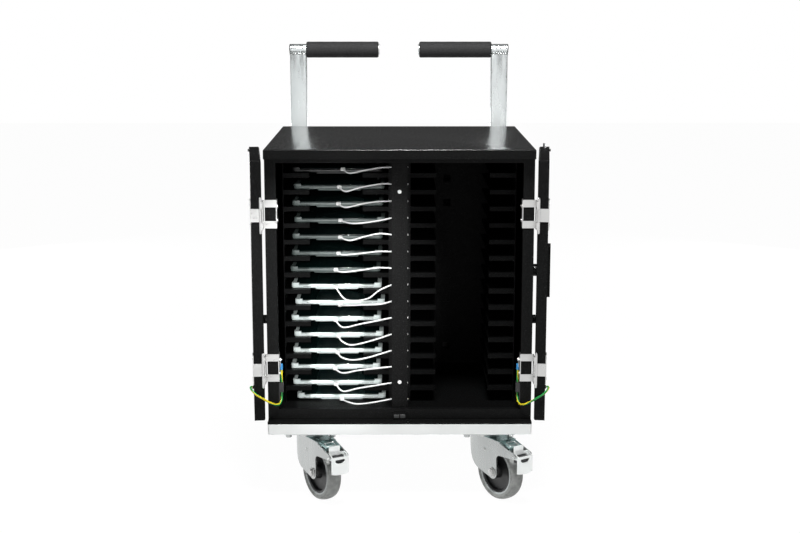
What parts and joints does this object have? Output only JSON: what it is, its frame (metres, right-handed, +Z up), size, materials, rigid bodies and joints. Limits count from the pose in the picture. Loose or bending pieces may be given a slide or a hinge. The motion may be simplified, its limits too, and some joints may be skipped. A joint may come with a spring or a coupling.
{
  "type": "tablet charging cart",
  "caption": "Steel cabinet on swivel casters with two wrap-round doors, ledges for tablets in two bays, charging leads, a three-way lock and foam push handles.",
  "frame": {"origin": "on the floor under the middle of the cart's bounding box", "axes": "+Z up, front with the doors towards -Y, +X to the right as seen from the front"},
  "size_m": [0.684, 0.6479, 0.9631],
  "materials": {
    "powder_black": "fine textured powder coat",
    "white_board": "smooth laminate",
    "zinc": "bright zinc",
    "steel": "satin",
    "black_plastic": "satin",
    "foam": "closed-cell foam",
    "white_plastic": "smooth",
    "mint_case": "smooth",
    "screen": "gloss",
    "tread": "grey rubber",
    "black_rubber": "matte",
    "earth_pvc": "green with yellow stripe",
    "red_plastic": "gloss"
  },
  "bodies": {
    "cabinet": {"base_board": "white_board", "bottom_tray": "powder_black", "side_panels": "powder_black", "rear_panel": "powder_black", "top_cover": "powder_black", "front_rails": "powder_black", "bay_walls": "powder_black", "bay_floor": "powder_black", "left_ledges": "powder_black", "right_ledges": "powder_black", "centre_post": "powder_black", "rear_partition": "powder_black", "post_screws": "white_plastic", "push_handles": "zinc", "handle_end_plugs": "black_plastic", "foam_grips": "foam", "m8_bolts": "zinc", "hinge_frame_leaves": "steel", "hinge_pins": "steel", "door_stops": "black_rubber", "magnetic_catches": "steel", "caster_plates": "zinc", "tablet_cases": "mint_case", "tablet_screens": "screen", "cable_plugs": "white_plastic", "charging_cables": "white_plastic", "cable_clips": "black_plastic", "charger_hubs": "black_plastic", "mains_inlet": "black_plastic", "earth_lugs": "steel", "earth_wire_left": "earth_pvc", "earth_wire_right": "earth_pvc"},
    "left_door": {"left_door_shell": "powder_black", "left_door_liner": "powder_black", "left_hinge_leaves": "steel", "left_door_buffers": "black_rubber"},
    "right_door": {"right_door_shell": "powder_black", "right_door_liner": "powder_black", "right_hinge_leaves": "steel", "right_door_buffers": "black_rubber", "lock_cover": "powder_black"},
    "lock": {"lock_handle": "black_plastic", "lock_pinion": "steel"},
    "key": {"key_cylinder": "steel"},
    "upper_rod": {"upper_lock_rod": "steel"},
    "lower_rod": {"lower_lock_rod": "steel"},
    "switch": {"mains_switch": "red_plastic"},
    "front_left_caster": {"front_left_fork": "zinc"},
    "front_left_wheel_body": {"front_left_hub": "black_plastic", "front_left_tyre": "tread"},
    "front_left_brake_pedal": {"front_left_pedal": "zinc"},
    "front_right_caster": {"front_right_fork": "zinc"},
    "front_right_wheel_body": {"front_right_hub": "black_plastic", "front_right_tyre": "tread"},
    "front_right_brake_pedal": {"front_right_pedal": "zinc"},
    "rear_left_caster": {"rear_left_fork": "zinc"},
    "rear_left_wheel_body": {"rear_left_wheel": "tread"},
    "rear_right_caster": {"rear_right_fork": "zinc"},
    "rear_right_wheel_body": {"rear_right_wheel": "tread"}
  },
  "joints": [
    {"name": "left_door_hinge", "type": "hinge", "parent": "cabinet", "child": "left_door", "pos_m": [-0.2887, -0.2729, 0.45], "axis": [0, 0, -1], "range_deg": [-264, 0], "deforming": ["earth_wire_left"]},
    {"name": "right_door_hinge", "type": "hinge", "parent": "cabinet", "child": "right_door", "pos_m": [0.2887, -0.2729, 0.45], "axis": [0, 0, 1], "range_deg": [-264, 0], "deforming": ["earth_wire_right"]},
    {"name": "lock_turn", "type": "hinge", "parent": "right_door", "child": "lock", "pos_m": [0.3246, -0.01504, 0.45845], "axis": [0.9945, -0.1045, 0], "range_deg": [0, 90]},
    {"name": "key_turn", "type": "hinge", "parent": "lock", "child": "key", "pos_m": [0.29332, -0.01175, 0.45845], "axis": [0.9945, -0.1045, 0], "range_deg": [0, 90]},
    {"name": "upper_rod_slide", "type": "slide", "parent": "right_door", "child": "upper_rod", "axis": [0, 0, 1], "range_m": [-0.0121, 0.0001]},
    {"name": "lower_rod_slide", "type": "slide", "parent": "right_door", "child": "lower_rod", "axis": [0, 0, 1], "range_m": [-0.0001, 0.0121]},
    {"name": "mains_switch_rock", "type": "hinge", "parent": "cabinet", "child": "switch", "pos_m": [0.12, 0.2605, 0.268], "axis": [1, 0, 0], "range_deg": [-16, 0]},
    {"name": "front_left_swivel", "type": "hinge", "parent": "cabinet", "child": "front_left_caster", "pos_m": [-0.192, -0.211, 0.14], "axis": [0, 0, 1], "continuous": true},
    {"name": "front_left_roll", "type": "hinge", "parent": "front_left_caster", "child": "front_left_wheel_body", "pos_m": [-0.16849, -0.24937, 0.0625], "axis": [0.8526, 0.5225, 0], "continuous": true},
    {"name": "front_left_brake", "type": "hinge", "parent": "front_left_caster", "child": "front_left_brake_pedal", "pos_m": [-0.13243, -0.3082, 0.11185], "axis": [0.8526, 0.5225, 0], "range_deg": [0, 10]},
    {"name": "front_right_swivel", "type": "hinge", "parent": "cabinet", "child": "front_right_caster", "pos_m": [0.192, -0.211, 0.14], "axis": [0, 0, 1], "continuous": true},
    {"name": "front_right_roll", "type": "hinge", "parent": "front_right_caster", "child": "front_right_wheel_body", "pos_m": [0.21781, -0.24786, 0.0625], "axis": [0.8192, 0.5736, 0], "continuous": true},
    {"name": "front_right_brake", "type": "hinge", "parent": "front_right_caster", "child": "front_right_brake_pedal", "pos_m": [0.25739, -0.30438, 0.11185], "axis": [0.8192, 0.5736, 0], "range_deg": [0, 10]},
    {"name": "rear_left_swivel", "type": "hinge", "parent": "cabinet", "child": "rear_left_caster", "pos_m": [-0.192, 0.214, 0.14], "axis": [0, 0, 1], "continuous": true},
    {"name": "rear_left_roll", "type": "hinge", "parent": "rear_left_caster", "child": "rear_left_wheel_body", "pos_m": [-0.20739, 0.25629, 0.0625], "axis": [-0.9397, -0.342, 0], "continuous": true},
    {"name": "rear_right_swivel", "type": "hinge", "parent": "cabinet", "child": "rear_right_caster", "pos_m": [0.192, 0.214, 0.14], "axis": [0, 0, 1], "continuous": true},
    {"name": "rear_right_roll", "type": "hinge", "parent": "rear_right_caster", "child": "rear_right_wheel_body", "pos_m": [0.20739, 0.25629, 0.0625], "axis": [-0.9397, 0.342, 0], "continuous": true}
  ],
  "couplings": [
    {"joint": "upper_rod_slide", "follows": "lock_turn", "m_per_rad": -0.007639},
    {"joint": "lower_rod_slide", "follows": "lock_turn", "m_per_rad": 0.007639}
  ]
}
